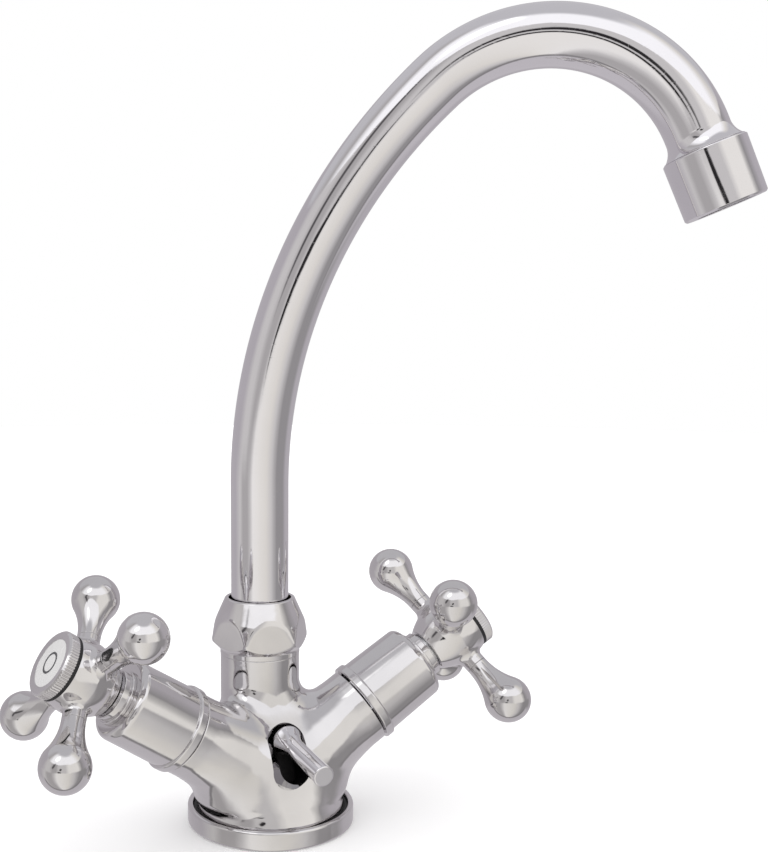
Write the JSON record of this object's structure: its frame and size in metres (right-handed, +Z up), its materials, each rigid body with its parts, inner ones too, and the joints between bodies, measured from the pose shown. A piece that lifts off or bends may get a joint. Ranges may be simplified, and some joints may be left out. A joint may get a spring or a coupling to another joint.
{
  "type": "basin mixer tap",
  "caption": "Chrome basin mixer tap with a swinging swan-neck spout, slanted cross handles with ball ends and a pop-up waste lever in the front of a round foot.",
  "frame": {"origin": "centre of the round foot, on the plane where it stands on the basin", "axes": "+Z up along the spout's riser, -Y to the front lever, +X to the right-hand handle"},
  "size_m": [0.1987, 0.1098, 0.2448],
  "materials": {
    "chrome": "polished",
    "brass": "machined",
    "steel": "satin",
    "black_rubber": "matte",
    "white_plastic": "satin",
    "grey_plastic": "satin",
    "disc_ceramic": "lapped",
    "index_white": "gloss"
  },
  "bodies": {
    "tap_body": {"base_flange": "chrome", "base_gasket": "black_rubber", "flange_seal": "black_rubber", "body_casting": "chrome", "lever_pin": "steel", "spout_nut": "chrome", "glide_ring_lower": "white_plastic", "glide_ring_upper": "white_plastic", "seat_seal_left": "black_rubber", "fixed_disc_left": "disc_ceramic", "valve_bonnet_left": "brass", "sleeve_left": "chrome", "lock_ring_left": "chrome", "seat_seal_right": "black_rubber", "fixed_disc_right": "disc_ceramic", "valve_bonnet_right": "brass", "sleeve_right": "chrome", "lock_ring_right": "chrome"},
    "spout": {"spout_tube": "chrome", "spout_bush": "brass", "spout_o_rings": "black_rubber", "aerator_housing": "chrome", "aerator_seal": "black_rubber", "aerator_insert": "grey_plastic"},
    "handle_left": {"moving_disc_left": "disc_ceramic", "spindle_left": "brass", "spindle_o_rings_left": "black_rubber", "circlip_left": "steel", "handle_hub_left": "chrome", "handle_arms_left": "chrome", "handle_screw_left": "steel", "cap_seal_left": "black_rubber", "index_cap_left": "chrome", "index_disc_left": "index_white"},
    "handle_right": {"moving_disc_right": "disc_ceramic", "spindle_right": "brass", "spindle_o_rings_right": "black_rubber", "circlip_right": "steel", "handle_hub_right": "chrome", "handle_arms_right": "chrome", "handle_screw_right": "steel", "cap_seal_right": "black_rubber", "index_cap_right": "chrome", "index_disc_right": "index_white"},
    "lever": {"waste_lever": "chrome"}
  },
  "joints": [
    {"name": "spout_swivel", "type": "hinge", "parent": "tap_body", "child": "spout", "pos_m": [0, 0.008, 0.0632], "axis": [0, 0, 1], "continuous": true},
    {"name": "left_handle_turn", "type": "hinge", "parent": "tap_body", "child": "handle_left", "pos_m": [0, 0, 0.0135], "axis": [-0.8342, -0.0657, 0.5476], "range_deg": [0, 90]},
    {"name": "right_handle_turn", "type": "hinge", "parent": "tap_body", "child": "handle_right", "pos_m": [0, 0, 0.0135], "axis": [-0.8342, 0.0657, -0.5476], "range_deg": [0, 90]},
    {"name": "waste_lever_tip", "type": "hinge", "parent": "tap_body", "child": "lever", "pos_m": [0, -0.0045, 0.0299], "axis": [1, 0, 0], "range_deg": [0, 25]}
  ]
}
